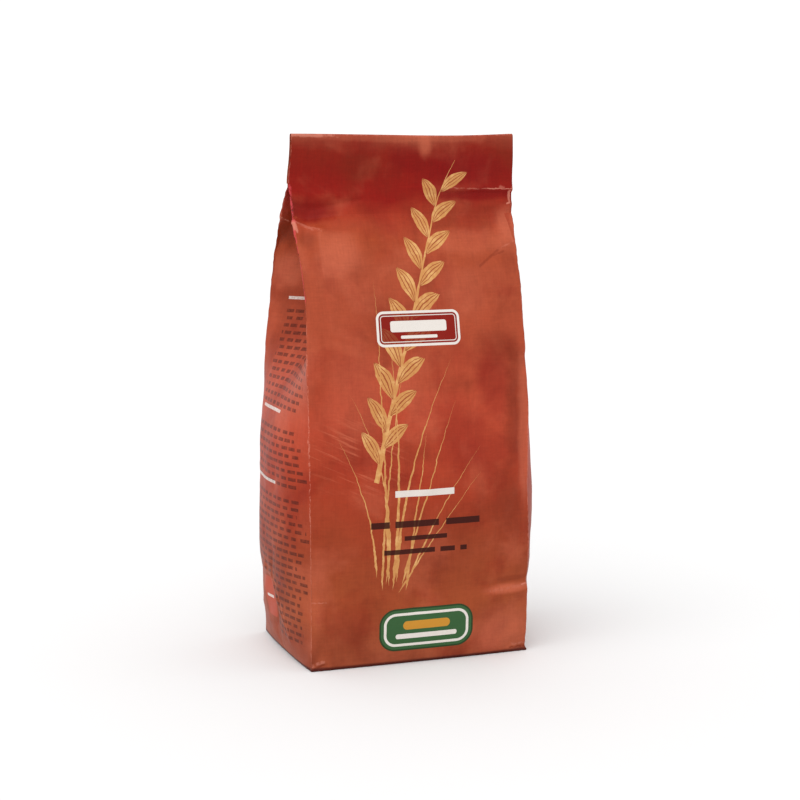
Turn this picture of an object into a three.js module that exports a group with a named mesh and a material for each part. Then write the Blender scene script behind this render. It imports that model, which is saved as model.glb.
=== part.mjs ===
// A gusseted, block-bottomed paper bag of rolled grain flakes, full and shut. Its mouth is pressed
// flat into a band, and the band's upper part is folded over the top and glued down behind.
//
// The bag is one closed solid, lofted through a stack of outlines. Each outline is worked out from
// how the paper tube folds: the side panels keep their width, so as the front and back lean
// together above the contents, each side panel has to tuck inwards along its middle crease.
// Millimetres, +Z up, front towards -Y, origin at the middle of the base.
import * as THREE from "three";

// The block bottom and the upright folds above it
const BAG_HEIGHT = 275; // base to top fold
const BODY_WIDTH = 120.3; // front and back panels, fold to fold
const BODY_DEPTH = 85; // side panels, fold to fold
const EDGE_SOFTNESS = 0.7; // how far a tucked side panel keeps from the front and back panels
const BASE_EDGE = 1.6; // roundness of the base's rim
const BASE_CREASE_HEIGHT = 40; // where the bottom was folded up while the bag was flat
const BASE_CREASE_DEPTH = 0.4;
const BASE_CREASE_REACH = 7;

// The flat band at the mouth
const BAND_HEIGHT = 27;
const BAND_WIDTH = 124.4; // pressed flat, the panels show their full width
const BAND_FORWARD = 13; // the band's foot stands this far in front of the base's middle
const BAND_LEAN = 2.5; // and its top this much further forward
const BAND_THICKNESS = 1.8; // front, back and tucked sides, pressed together
const BAND_WAVE = 0.7; // the band isn't quite flat across
const FLAP_THICKNESS = 1.4; // the same layers again, folded down behind
const TOP_FOLD_RADIUS = (BAND_THICKNESS + FLAP_THICKNESS) / 2;
const TOP_CORNER_SKEW = 1.8; // the top fold runs in by this much at its left end
const TOP_FOLD_SAG = 0.9; // and dips in the middle
const WIDENING_START = 200; // the folds spread from the body's width to the band's above this

// How the front and back lean together above the contents: from `start` to `end` in height, with
// the share `even` of the lean spread evenly and the rest turning in sharply near the end
const BAND_START = BAG_HEIGHT - BAND_HEIGHT;
const FRONT_LEAN = { start: 95, end: 233, even: 0.3 };
const BACK_LEAN = { start: 135, end: BAND_START, even: 0.55 };
const LEAN_EASE = 0.2; // how gently the even part starts
const LEAN_SHARPNESS = 5; // power of the sharp part

// What the contents do to the panels
const FRONT_BULGE = 6;
const BACK_BULGE = 7;
const SIDE_BULGE = 10.5;
const FLANK_BULGE = 2; // each half of a tucked side, pushed out by the flakes
const BULGE_SHIFT = 0.66; // below 1, the bulges are fullest in the lower half
const BULGE_PLUMPNESS = 0.8; // below 1, they fill out quickly above the base
const FRONT_FULLNESS = 2.6; // power of a bulge across its panel: higher is boxier
const SIDE_FULLNESS = 2.8;
const BULGE_ENDS = [105, 170]; // heights between which the side bulge fades out
const TUCK_STARTS = [112, 185]; // heights between which the side's middle crease takes over
const FLANK_STARTS = [130, 175];

// How finely the outlines are drawn
const ACROSS_PANEL = 14;
const ACROSS_SIDE = 10;
const BODY_STEP = 8;
const SHOULDER_STEP = 5;
const BAND_STEP = 7;

const HALF_SIDE = BODY_DEPTH / 2;

const mix = (a, b, t) => a + (b - a) * t;
const smooth = ([low, high], x) => THREE.MathUtils.smoothstep(x, low, high);
const hump = (x, middle, reach) => Math.exp(-(((x - middle) / reach) ** 2));

// 0 where a panel stands upright, 1 where it has reached the band
function closing(z, { start, end, even }) {
  const rise = THREE.MathUtils.clamp((z - start) / (end - start), 0, 1);
  const evenly = (rise * rise * (1 + LEAN_EASE)) / (rise + LEAN_EASE);
  return even * evenly + (1 - even) * rise ** LEAN_SHARPNESS;
}

// 0 at the base and at the band, 1 where the contents press hardest
function fullness(z) {
  const up = THREE.MathUtils.clamp(z / BAND_START, 0, 1);
  return Math.sin(Math.PI * up ** BULGE_SHIFT) ** BULGE_PLUMPNESS;
}

// How far the rim and the flattening crease above it draw the outline in
function drawnIn(z) {
  const rim = z < BASE_EDGE ? BASE_EDGE - Math.sqrt(BASE_EDGE ** 2 - (BASE_EDGE - z) ** 2) : 0;
  return rim + BASE_CREASE_DEPTH * hump(z, BASE_CREASE_HEIGHT, BASE_CREASE_REACH);
}

// The four upright folds at height z: half the width between them, and where front and back stand
function corners(z) {
  const inset = drawnIn(z);
  const halfThick = BAND_THICKNESS / 2;
  const band = -BAND_FORWARD - BAND_LEAN * smooth([BAND_START, BAG_HEIGHT], z);
  return {
    half: mix(BODY_WIDTH, BAND_WIDTH, smooth([WIDENING_START, BAND_START], z)) / 2 - inset,
    front: mix(-HALF_SIDE, band - halfThick, closing(z, FRONT_LEAN)) + inset,
    back: mix(HALF_SIDE, band + halfThick, closing(z, BACK_LEAN)) - inset,
  };
}

// A point of the front (side -1) or back (side 1) panel, `across` going from 0 at its left to 1
function panelPoint(z, across, side) {
  const { half, front, back } = corners(z);
  const reach = 1 - Math.abs(2 * across - 1) ** FRONT_FULLNESS;
  const bulge = (side < 0 ? FRONT_BULGE : BACK_BULGE) * fullness(z) * reach;
  const intoBand = smooth([BAND_START - 8, BAND_START + 4], z);
  const wave = BAND_WAVE * intoBand * Math.sin(2 * Math.PI * across + 0.6);
  const towardsTop = smooth([BAND_START, BAG_HEIGHT], z);
  const skew = TOP_CORNER_SKEW * towardsTop * (1 - across);
  const sag = TOP_FOLD_SAG * towardsTop * Math.sin(Math.PI * across);
  const flap = side > 0 && z > BAND_START ? FLAP_THICKNESS : 0;
  const y = side < 0 ? front - bulge : back + bulge + flap;
  return new THREE.Vector3(mix(-half, half, across) + skew, y + wave, z - sag);
}

// A point of a side panel, `along` going from 0 at its front fold to 1 at its back fold, and
// `hand` -1 on the left and 1 on the right. Below the shoulder the panel bulges out, and above it
// the middle crease tucks in by what the constant width of the paper leaves over.
function sidePoint(z, along, hand) {
  const across = hand < 0 ? 0 : 1;
  const frontFold = panelPoint(z, across, -1);
  const backFold = panelPoint(z, across, 1);
  const towardsCrease = 1 - Math.abs(2 * along - 1);
  const halfDepth = (backFold.y - frontFold.y) / 2;
  const tuck = Math.sqrt(Math.max(HALF_SIDE ** 2 - halfDepth ** 2, 0)) * smooth(TUCK_STARTS, z);
  const bulge = SIDE_BULGE * (1 - smooth(BULGE_ENDS, z)) * (1 - (1 - towardsCrease) ** SIDE_FULLNESS);
  const flank = FLANK_BULGE * smooth(FLANK_STARTS, z) * Math.abs(Math.sin(2 * Math.PI * along));
  const out = (bulge + flank) * fullness(z) - tuck * towardsCrease;
  const shut = z >= BAND_START;
  const edge = shut ? 0 : Math.min(EDGE_SOFTNESS, halfDepth / 2);
  const y = mix(frontFold.y + edge, backFold.y - edge, along);
  const x = frontFold.x + hand * (shut ? -0.25 * towardsCrease : out);
  return new THREE.Vector3(x, y, frontFold.z);
}

// One closed outline at height z, anticlockwise from above, starting at the front left fold
function outline(z) {
  const points = [];
  for (let i = 0; i <= ACROSS_PANEL; i++) points.push(panelPoint(z, i / ACROSS_PANEL, -1));
  for (let i = 1; i < ACROSS_SIDE; i++) points.push(sidePoint(z, i / ACROSS_SIDE, 1));
  for (let i = ACROSS_PANEL; i >= 0; i--) points.push(panelPoint(z, i / ACROSS_PANEL, 1));
  for (let i = ACROSS_SIDE - 1; i > 0; i--) points.push(sidePoint(z, i / ACROSS_SIDE, -1));
  return points;
}

// The heights of the outlines, closest together round the rim, the shoulder and the band
function heights() {
  const rim = [0, 0.2, 0.5, 0.9].map((share) => share * BASE_EDGE);
  const climb = (from, to, step) => {
    const count = Math.ceil((to - from) / step);
    return Array.from({ length: count }, (_, i) => mix(from, to, i / count));
  };
  const tuckCloses = 1.2; // the last open outline is this far under the band
  const flapEdge = 0.4; // height taken by the flap's lower edge
  const shoulder = FRONT_LEAN.start;
  const pinch = FRONT_LEAN.end;
  return [
    ...rim,
    ...climb(BASE_EDGE, shoulder, BODY_STEP),
    ...climb(shoulder, pinch, SHOULDER_STEP),
    ...climb(pinch, BAND_START - tuckCloses, SHOULDER_STEP),
    BAND_START - tuckCloses,
    BAND_START,
    ...climb(BAND_START + flapEdge, BAG_HEIGHT - TOP_FOLD_RADIUS, BAND_STEP),
  ];
}

// The rounded fold along the top: the last outline, pinched together as it rises
function topFold() {
  const foot = outline(BAG_HEIGHT - TOP_FOLD_RADIUS);
  const shares = [0, 0.35, 0.65, 0.88]; // of a quarter turn
  return shares.map((share) => {
    const turn = (share * Math.PI) / 2;
    return foot.map((point, i) => {
      const middle = (point.y + foot[facingIndex(i)].y) / 2;
      const y = mix(middle, point.y, Math.cos(turn));
      return new THREE.Vector3(point.x, y, point.z + TOP_FOLD_RADIUS * Math.sin(turn));
    });
  });
}

// The point of an outline straight across the band from point i
function facingIndex(i) {
  const count = 2 * (ACROSS_PANEL + ACROSS_SIDE);
  return (count + ACROSS_PANEL - i) % count;
}

// Joins the outlines into one skin, and shuts it with a flat base and a narrow top
function loft(outlines) {
  const around = outlines[0].length;
  const positions = outlines.flat().flatMap((point) => point.toArray());
  const faces = [];
  for (let level = 0; level + 1 < outlines.length; level++) {
    for (let i = 0; i < around; i++) {
      const a = level * around + i;
      const b = level * around + ((i + 1) % around);
      faces.push(a, b, b + around, a, b + around, a + around);
    }
  }
  const shut = (points, first, upwards) => {
    const flat = points.map((point) => new THREE.Vector2(point.x, point.y));
    for (const [a, b, c] of THREE.ShapeUtils.triangulateShape(flat, [])) {
      faces.push(...(upwards ? [a, b, c] : [a, c, b]).map((i) => i + first));
    }
  };
  shut(outlines[0], 0, false);
  shut(outlines.at(-1), (outlines.length - 1) * around, true);
  const geometry = new THREE.BufferGeometry();
  geometry.setAttribute("position", new THREE.Float32BufferAttribute(positions, 3));
  geometry.setIndex(faces);
  geometry.computeVertexNormals();
  return geometry;
}

// Moves the bag so that its origin is the middle of its base's box
function centred(geometry) {
  geometry.computeBoundingBox();
  const { min, max } = geometry.boundingBox;
  return geometry.translate(-(min.x + max.x) / 2, -(min.y + max.y) / 2, -min.z);
}

const printedPaper = new THREE.MeshStandardMaterial({
  color: 0xa8452d, // rust red ink on satin paper
  roughness: 0.5,
  metalness: 0,
});

const bag = new THREE.Mesh(centred(loft([...heights().map(outline), ...topFold()])), printedPaper);
bag.name = "bag";

const model = new THREE.Group();
model.add(bag);

export default model;
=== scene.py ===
# %% [markdown]
# # A paper bag of rolled grain, full and shut
#
# The object is one printed paper bag. It began as a flat sheet, was glued into a tube with tucked
# sides, got a block bottom, was filled, and had its mouth pressed flat, folded over and glued.
# This lesson makes it in the same order: a flat grid with a map in the sheet's own millimetres is
# folded into the bag, creased, and then printed by its material. A box with its sides pushed about
# would be quicker, but the creases and the print of a real bag follow the paper, and on a grid that
# keeps the paper's measures each of them has a place.
#
# The first step loads the solid that sets the bag's place and size. It stays as it is, and its box
# gives the bag's height and place.

# %% Load the solid that sets the place and size
import math

import bpy
import numpy as np
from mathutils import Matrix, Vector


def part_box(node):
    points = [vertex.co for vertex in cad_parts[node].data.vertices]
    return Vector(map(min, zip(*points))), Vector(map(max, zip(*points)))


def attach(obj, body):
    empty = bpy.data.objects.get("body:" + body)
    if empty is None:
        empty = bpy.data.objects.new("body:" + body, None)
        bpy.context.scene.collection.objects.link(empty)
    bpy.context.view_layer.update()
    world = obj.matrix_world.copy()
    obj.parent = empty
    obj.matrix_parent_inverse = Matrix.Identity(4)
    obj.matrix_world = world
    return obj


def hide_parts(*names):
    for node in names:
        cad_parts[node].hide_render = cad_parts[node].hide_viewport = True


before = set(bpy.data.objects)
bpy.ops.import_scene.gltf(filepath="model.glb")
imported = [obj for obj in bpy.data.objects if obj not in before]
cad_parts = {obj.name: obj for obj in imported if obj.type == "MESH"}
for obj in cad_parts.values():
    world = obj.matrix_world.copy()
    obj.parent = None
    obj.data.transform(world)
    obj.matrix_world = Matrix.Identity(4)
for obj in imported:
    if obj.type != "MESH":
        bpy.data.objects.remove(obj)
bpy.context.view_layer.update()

MM = 0.001  # this file thinks in millimetres, as a bag maker does, and Blender in metres
node_low, node_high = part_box("bag")
print("the solid is", [round(edge / MM, 1) for edge in node_high - node_low], "mm")

# %% [markdown]
# ## Sizes
#
# A bag maker names a bag by its front panel, its tucked side (the gusset) and its height. The
# height is read from the solid, and the panels and the band have the sizes that the solid was made
# from. What the solid leaves out, such as the fold's inner radius and the flap behind, is here too.

# %% The bag's sizes
HEIGHT = (node_high.z - node_low.z) / MM
BODY_WIDTH = 120.3  # front and back panels, fold to fold
BODY_DEPTH = 85.0  # side panels, fold to fold
GIRTH = 2 * (BODY_WIDTH + BODY_DEPTH)
HALF_DEPTH = BODY_DEPTH / 2
RIM = 0.8  # roundness of the base's rim

BAND_HEIGHT = 27.0  # the flat band at the mouth
BAND_FOOT = HEIGHT - BAND_HEIGHT
BAND_WIDTH = 124.4
BAND_FORWARD = 13.0  # its foot stands this far in front of the base's middle
BAND_LEAN = 2.5  # and its top this much further
FOOT_THICKNESS = 1.8  # the layers at the band's foot, still a little open
BAND_THICKNESS = 1.1  # and pressed together above it
FOLD_RADIUS = 0.35  # inside the fold over the top
FLAP_LENGTH = 24.0  # what hangs down behind
TOP_CORNER_SKEW = 1.8  # the top fold runs in by this much at its left end
TOP_SAG = 0.9  # and dips in the middle

# How far the flakes push each panel out, where it is fullest
FRONT_BULGE, BACK_BULGE, SIDE_BULGE, FLANK_BULGE = 6.0, 7.0, 10.5, 2.0
RIGHT_SIDE_FULLER = 2.2  # they have settled a little to the right
DEPTH_SHIFT = node_low.y / MM + HALF_DEPTH + FRONT_BULGE  # the solid's box is centred
print(f"sheet round the bag {GIRTH:.1f} mm, depth shift {DEPTH_SHIFT:.2f} mm")

# %% [markdown]
# ## The flat sheet
#
# The sheet is a grid primitive. Its columns run up the bag and its rows run round it. A fold needs
# closer lines than the middle of a panel does, so each line gets its place along the sheet from a
# density that rises near the folds. The left edge of the sheet is the glued seam on the back.
#
# Along the sheet, 0 is the rim of the base. Below 0 it folds under the bag, and above the band it
# goes over the top and down behind.

# %% How the lines of the grid are spread
def spread(start, end, count, places):
    """count + 1 stations from start to end, closer near each (place, closeness, reach)."""
    fine = np.linspace(start, end, 6000)
    density = np.ones_like(fine)
    for place, closeness, reach in places:
        density += closeness * np.exp(-(((fine - place) / reach) ** 2))
    passed = np.concatenate([[0], np.cumsum(density[1:] + density[:-1])])
    return np.interp(np.linspace(0, passed[-1], count + 1), passed, fine)


def across_panel(width, count, creases):
    """Stations across one panel, the same from either side, so that front and back match."""
    lines = spread(0, width, count, [(place, 1.6, 4) for place in creases])
    return (lines[:-1] + width - lines[:0:-1]) / 2


PANEL_COLUMNS, SIDE_COLUMNS = 98, 76
panel_lines = across_panel(BODY_WIDTH, PANEL_COLUMNS, (0, BODY_WIDTH))
side_lines = across_panel(BODY_DEPTH, SIDE_COLUMNS, (0, HALF_DEPTH, BODY_DEPTH))
from_front = np.concatenate([
    panel_lines, BODY_WIDTH + side_lines,
    BODY_WIDTH + BODY_DEPTH + panel_lines, 2 * BODY_WIDTH + BODY_DEPTH + side_lines,
])
SEAM_TO_FOLD = 30.0  # the glued seam is about this far from the back left fold
seam_line = np.abs(from_front - (GIRTH - BODY_DEPTH - SEAM_TO_FOLD)).argmin()
FRONT_START = GIRTH - from_front[seam_line]
around = np.append(np.roll((from_front + FRONT_START) % GIRTH, -seam_line), GIRTH)
around[0] = 0
column_gaps = np.diff(around)
print(f"columns {column_gaps.min():.2f} to {column_gaps.max():.2f} mm apart")

# %% Where the folds come, round the bag
LEFT_START, RIGHT_START = FRONT_START - BODY_DEPTH, FRONT_START + BODY_WIDTH
BACK_START = RIGHT_START + BODY_DEPTH
UPRIGHT_FOLDS = (LEFT_START, FRONT_START, RIGHT_START, BACK_START)
LEFT_MIDDLE, RIGHT_MIDDLE = LEFT_START + HALF_DEPTH, RIGHT_START + HALF_DEPTH
FRONT_MIDDLE, BACK_MIDDLE = FRONT_START + BODY_WIDTH / 2, BACK_START + BODY_WIDTH / 2
print("upright folds at", [round(fold, 1) for fold in UPRIGHT_FOLDS], "mm round the bag")

# %% And how the rows are spread along it
TOP_RADIUS = FOLD_RADIUS + BAND_THICKNESS / 2  # of the middle of the layers, over the top
UPRIGHT_LENGTH = BAND_HEIGHT - FOLD_RADIUS - BAND_THICKNESS
CUT_EDGE = BAND_FOOT + UPRIGHT_LENGTH + math.pi * TOP_RADIUS + FLAP_LENGTH
UNDER_RIM, ON_RIM = -0.9, 0.2  # where the rim's curve has become the underside, and one row on it
BASE_CREASE = 40.0  # where the bottom was folded up while the bag was flat
FLAP_EDGE = 8.0  # the underside's front flap ends this far behind the middle
SHEET_START, SHEET_END = -HALF_DEPTH, CUT_EDGE + BAND_THICKNESS / 2
SHEET_LENGTH = SHEET_END - SHEET_START

COLUMNS, ROWS = len(from_front), 268
FINE_ROWS = [  # place, closeness and reach
    (0.5, 3, 2), (BASE_CREASE, 0.5, 8), (BAND_FOOT - 8, 1.2, 14), (BAND_FOOT, 1.5, 3),
    (HEIGHT, 3, 3), (SHEET_END, 4, 2),
]
along = spread(SHEET_START, SHEET_END, ROWS, FINE_ROWS)
for edge in (UNDER_RIM, ON_RIM, RIM, BAND_FOOT, CUT_EDGE):  # a row lies exactly on each edge
    along[np.abs(along - edge).argmin()] = edge
row_gaps = np.diff(along)
print(f"rows {row_gaps.min():.2f} to {row_gaps.max():.2f} mm apart, sheet {SHEET_LENGTH:.1f} mm long")

# %% The grid itself
bpy.ops.object.select_all(action="DESELECT")
bpy.ops.mesh.primitive_grid_add(x_subdivisions=COLUMNS, y_subdivisions=ROWS, size=1)
bag = bpy.context.object
bag.name = "printed_bag"
flat = np.empty(len(bag.data.vertices) * 3)
bag.data.vertices.foreach_get("co", flat)
flat = flat.reshape(-1, 3)
column = np.rint((flat[:, 0] + 0.5) * COLUMNS).astype(int)
row = np.rint((flat[:, 1] + 0.5) * ROWS).astype(int)
print("the flat sheet has", len(flat), "points")

# %% [markdown]
# ## How the panels lean, bulge and tuck
#
# A full bag is a block up to its shoulder. Above that, the front and back lean together into the
# band. Paper can't shrink, so as they close, each side panel has to tuck in along its middle
# crease, by exactly what Pythagoras leaves over. The flakes push every panel out a little.
#
# A cloth simulation could fold it too, but paper is stiffer than cloth, and a formula for the
# outline at each height gives straight folds at once, and the same bag on every run.

# %% Soft steps between two values
def smooth(low, high, x):
    share = np.clip((x - low) / (high - low), 0, 1)
    return share * share * (3 - 2 * share)


def mix(a, b, share):
    return a + (b - a) * share


print("halfway up a soft step:", smooth(0, 10, 5))

# %% How front and back lean together: the heights between which they do
FRONT_LEANS, BACK_LEANS = (95.0, 233.0), (135.0, BAND_FOOT)
FRONT_EVENLY, BACK_EVENLY = 0.3, 0.55  # share of the lean that is spread evenly, the rest comes late
LEAN_EASE = 0.2  # how gently the even part starts
LATE_POWER = 5  # how late the rest comes
WIDENING_START = 200.0  # the upright folds spread from the body's width to the band's above this
PINCH, PINCH_HEIGHT, PINCH_REACH = 0.6, 183.0, 15.0  # and run in a little at the shoulder


def closing(z, start, end, evenly):
    """0 where a panel stands upright, 1 where it has reached the band."""
    rise = np.clip((z - start) / (end - start), 0, 1)
    eased = rise * rise * (1 + LEAN_EASE) / (rise + LEAN_EASE)
    return evenly * eased + (1 - evenly) * rise**LATE_POWER


def folds(z):
    """Half the width, and how far front and back stand from the middle of the band."""
    thick = mix(FOOT_THICKNESS, BAND_THICKNESS, smooth(BAND_FOOT - 2, BAND_FOOT + 8, z))
    half = mix(BODY_WIDTH, BAND_WIDTH, smooth(WIDENING_START, BAND_FOOT, z)) / 2
    half = half - PINCH * np.exp(-(((z - PINCH_HEIGHT) / PINCH_REACH) ** 2))
    front = mix(BAND_FORWARD - HALF_DEPTH, -thick / 2, closing(z, *FRONT_LEANS, FRONT_EVENLY))
    back = mix(BAND_FORWARD + HALF_DEPTH, thick / 2, closing(z, *BACK_LEANS, BACK_EVENLY))
    return half, front, back


print("at the shoulder, half width, front and back:", [round(float(v), 1) for v in folds(PINCH_HEIGHT)])

# %% How the flakes push the panels out
BULGE_SHIFT = 0.66  # below 1, the bulges are fullest in the lower half
BULGE_PLUMPNESS = 0.8  # below 1, they fill out quickly above the base
PANEL_FULLNESS, SIDE_FULLNESS = 2.6, 2.8  # power of a bulge across: higher is boxier


def fullness(z):
    """0 at the base and the band, 1 where the contents press hardest."""
    return np.sin(np.pi * np.clip(z / BAND_FOOT, 0, 1) ** BULGE_SHIFT) ** BULGE_PLUMPNESS


print("fullness halfway up", fullness(BAND_FOOT / 2).round(2))

# %% Where a side panel stops bulging and starts to tuck in
SIDE_BULGE_ENDS, FLANKS_START = (108.0, 174.0), (130.0, 175.0)
TUCK_STARTS, CREASE_SHARPENS = (112.0, 185.0), (135.0, 205.0)
SOFT_CREASE, SHARP_CREASE = 0.3, 0.02  # roundness of the middle crease, as a share of half the side
TUCK_IN_BAND = 1.6  # the shut band shows this much of the tuck
FULLER_START, FULLER_END = (34.0, 48.0), (85.0, 125.0)
EDGE_SOFTNESS, EDGE_STEEPNESS = 0.7, 8  # a tucked side keeps this far from the front and the back


def side_panel(z, share, hand):
    """x and depth on a side, `share` from 0 at its front fold to 1 at the back, hand -1 on the left."""
    half, front, back = folds(z)
    share = np.clip(share, 0, 1)
    off_crease = np.abs(2 * share - 1)  # 0 on the middle crease, 1 on the folds
    round_crease = mix(SOFT_CREASE, SHARP_CREASE, smooth(*CREASE_SHARPENS, z))
    hollow = np.sqrt(off_crease**2 + round_crease**2) - round_crease
    inwards = 1 - hollow / (np.sqrt(1 + round_crease**2) - round_crease)
    half_gap = (back - front) / 2
    tuck = np.sqrt(np.maximum(HALF_DEPTH**2 - half_gap**2, 0)) * smooth(*TUCK_STARTS, z)
    tuck = mix(tuck, TUCK_IN_BAND, smooth(BAND_FOOT - 1, BAND_FOOT + 3, z))
    fuller = RIGHT_SIDE_FULLER * smooth(*FULLER_START, z) * (1 - smooth(*FULLER_END, z)) * (hand > 0)
    bulge = SIDE_BULGE * (1 - smooth(*SIDE_BULGE_ENDS, z)) + fuller
    bulge = bulge * (1 - off_crease**SIDE_FULLNESS)
    flank = FLANK_BULGE * smooth(*FLANKS_START, z) * np.abs(np.sin(2 * np.pi * share))
    edge = np.minimum(EDGE_SOFTNESS, half_gap / 2) * np.minimum((1 - off_crease) * EDGE_STEEPNESS, 1)
    edge = edge * (1 - smooth(BAND_FOOT, BAND_FOOT + 4, z))
    depth = mix(front, back, share) + edge * (1 - 2 * share)
    return hand * (half + (bulge + flank) * fullness(z) - tuck * inwards), depth


print("the side's middle at mid height", side_panel(BAND_FOOT / 2, 0.5, 1)[0].round(1), "mm out")


# %% The whole outline at each height
def flat_panel(z, share, fold_depth, bulge):
    """x and depth on the front or the back, `share` from 0 at its left fold to 1 at its right."""
    half = folds(z)[0]
    reach = 1 - np.abs(2 * np.clip(share, 0, 1) - 1) ** PANEL_FULLNESS
    return mix(-half, half, share), fold_depth + bulge * fullness(z) * reach


def outlines(z):
    """x and depth of every column at every height: depth is measured from the band's middle."""
    past_fold = (around[None, :] - FRONT_START) % GIRTH  # how far round from the front left fold
    front, back = folds(z)[1:]
    right_end, back_end = BODY_WIDTH + BODY_DEPTH, GIRTH - BODY_DEPTH
    shapes = (
        flat_panel(z, past_fold / BODY_WIDTH, front, -FRONT_BULGE),
        side_panel(z, (past_fold - BODY_WIDTH) / BODY_DEPTH, 1),
        flat_panel(z, (back_end - past_fold) / BODY_WIDTH, back, BACK_BULGE),
        side_panel(z, (GIRTH - past_fold) / BODY_DEPTH, -1),
    )
    where = (past_fold <= BODY_WIDTH, past_fold <= right_end, past_fold <= back_end)
    return [np.select(where, [shape[axis] for shape in shapes[:3]], shapes[3][axis]) for axis in (0, 1)]


waist = outlines(np.array([[BASE_CREASE]]))
print("the outline at the base's crease is", np.ptp(waist[0]).round(1), "mm wide")

# %% [markdown]
# ## Under the base and over the top
#
# Below the rim the sheet turns in under the bag, to a line along the middle. Above the band it
# goes round a tight half circle and down behind. Both are paths for the middle of the layers, and
# the outlines are set square to them. Setting them square keeps the band as thick over the top as
# it is on its way up, which shifting the points sideways wouldn't.

# %% Over the top
def path(rise):
    """Place (depth, height) of the band's middle, and the direction of its back, along the sheet."""
    turn = np.clip((rise - UPRIGHT_LENGTH) / TOP_RADIUS, 0, math.pi)
    hanging = np.clip(rise - UPRIGHT_LENGTH - math.pi * TOP_RADIUS, 0, FLAP_LENGTH)
    depth = TOP_RADIUS * (1 - np.cos(turn))
    height = np.minimum(rise, UPRIGHT_LENGTH) + TOP_RADIUS * np.sin(turn) - hanging
    return depth, BAND_FOOT + height, np.cos(turn), -np.sin(turn)


print("the top fold comes to", (path(UPRIGHT_LENGTH + math.pi * TOP_RADIUS / 2)[1]).round(1), "mm")

# %% Under the base
BASE_HOLLOW = 0.5  # the table touches the base only near the rim
FLAP_STEP = 0.45  # two layers under the front flap, one beside it
BASE_TUCK, BASE_TUCK_WIDTH = 0.25, 1.6  # the four slanting tucks


def block_bottom(x, y):
    """How far the underside stands off the table: two flaps, the front one glued over the other."""
    from_rim = np.minimum(BODY_WIDTH / 2 - np.abs(x), HALF_DEPTH - np.abs(y))
    hollow = BASE_HOLLOW * smooth(3, 25, from_rim)
    uncovered = FLAP_STEP * smooth(FLAP_EDGE - 0.6, FLAP_EDGE + 0.6, y) * smooth(1, 6, from_rim)
    off_tuck = np.abs(x) - (BODY_WIDTH / 2 - HALF_DEPTH) - np.abs(y)
    tuck = BASE_TUCK * np.exp(-((off_tuck / BASE_TUCK_WIDTH) ** 2)) * smooth(2, 8, from_rim)
    return hollow + uncovered + tuck


print("in its middle the base stands off the table by", round(float(block_bottom(0, 0)), 2), "mm")


# %% From sheet to bag
def folded():
    """Every point of the sheet in its place on the bag, in millimetres, as rows of columns."""
    station = along[:, None]
    height = np.clip(station, RIM, None)
    x, depth = outlines(height)
    path_depth, path_height, back_depth, back_height = path(np.maximum(station - BAND_FOOT, 0))
    pinch = np.clip(1 - (station - CUT_EDGE) / (SHEET_END - CUT_EDGE), 0, 1)
    depth = depth * np.where(station > BAND_FOOT, pinch, 1)
    y = -BAND_FORWARD + path_depth + depth * back_depth
    z = np.where(station > BAND_FOOT, path_height + depth * back_height, height + 0 * x)

    rolled = np.clip((RIM - station) / (RIM - UNDER_RIM), 0, 1) * math.pi / 2  # round the rim
    inset = RIM * (1 - np.cos(rolled))
    under = (UNDER_RIM - station) / (UNDER_RIM - SHEET_START)
    under = np.clip(under, 0, 1)  # 0 at the rim, 1 at the middle
    half_x, half_y = BODY_WIDTH / 2 - RIM, HALF_DEPTH - RIM
    below = station < RIM
    x = np.where(below, x * (1 - inset / (half_x + RIM)), x)
    y = np.where(below, y * (1 - inset / (half_y + RIM)), y)
    x = x * (1 - under * half_y / half_x)
    y = y * (1 - under)
    z = np.where(below, RIM * (1 - np.sin(rolled)), z)
    z = z + np.where(under > 0, block_bottom(x, y), 0)
    return np.stack([x, y + 0 * x, z + 0 * x], axis=-1)


places = folded()
print("folded bag, lowest", places.min((0, 1)).round(1), "highest", places.max((0, 1)).round(1))

# %% [markdown]
# ## Creases, dents and lumps
#
# Paper doesn't stretch, so a knock leaves straight creases and small flat facets, and a full bag
# shows its contents as soft lumps. All of these are a height over the smooth bag, in millimetres,
# that is added along its normals. The height is drawn on the flat sheet, where a crease is simply
# a straight line between two places. Sculpting would do it by eye, and a material's bump wouldn't
# change the outline, so the creases are real relief and each is one line of code.

# %% Drawing on the sheet
S, T = around[None, :] + 0 * along[:, None], along[:, None] + 0 * around[None, :]


def apart(station, place):
    """How far a station is from a place, going round the bag the short way."""
    return (station - place + GIRTH / 2) % GIRTH - GIRTH / 2


def crease(start, end, height, before=3.0, after=3.0):
    """A straight crease, with a slope before it (right or below) and one after it."""
    run, rise = apart(end[0], start[0]), end[1] - start[1]
    length = math.hypot(run, rise)
    u = (apart(S, start[0]) * run + (T - start[1]) * rise) / length**2
    v = ((T - start[1]) * run - apart(S, start[0]) * rise) / length
    fade = smooth(-0.25, 0.15, u) * (1 - smooth(0.85, 1.25, u))
    return height * fade * np.exp(-np.abs(v) / np.where(v < 0, before, after))


def dent(place, size, turn, depth, sides=3):
    """A crushed spot: a shallow pyramid of flat facets that points inwards."""
    u, v = apart(S, place[0]) / size[0], (T - place[1]) / size[1]
    angles = math.radians(turn) + 2 * np.pi * np.arange(sides) / sides
    reach = np.max([u * math.cos(a) + v * math.sin(a) for a in angles], axis=0)
    return -depth * np.clip(1 - np.sqrt(reach**2 + 0.01), 0, 1)


def lumps(wavelength, height, waves, seed):
    """Soft lumps in space, so that they meet at the seam."""
    draw = np.random.default_rng(seed)
    total = np.zeros(S.shape)
    for _ in range(waves):
        direction = draw.normal(size=3)
        direction *= draw.uniform(0.7, 1.3) / wavelength / np.linalg.norm(direction)
        total += np.cos(2 * np.pi * (places @ direction) + draw.uniform(0, 2 * np.pi))
    return height * total / math.sqrt(waves / 2)


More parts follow.
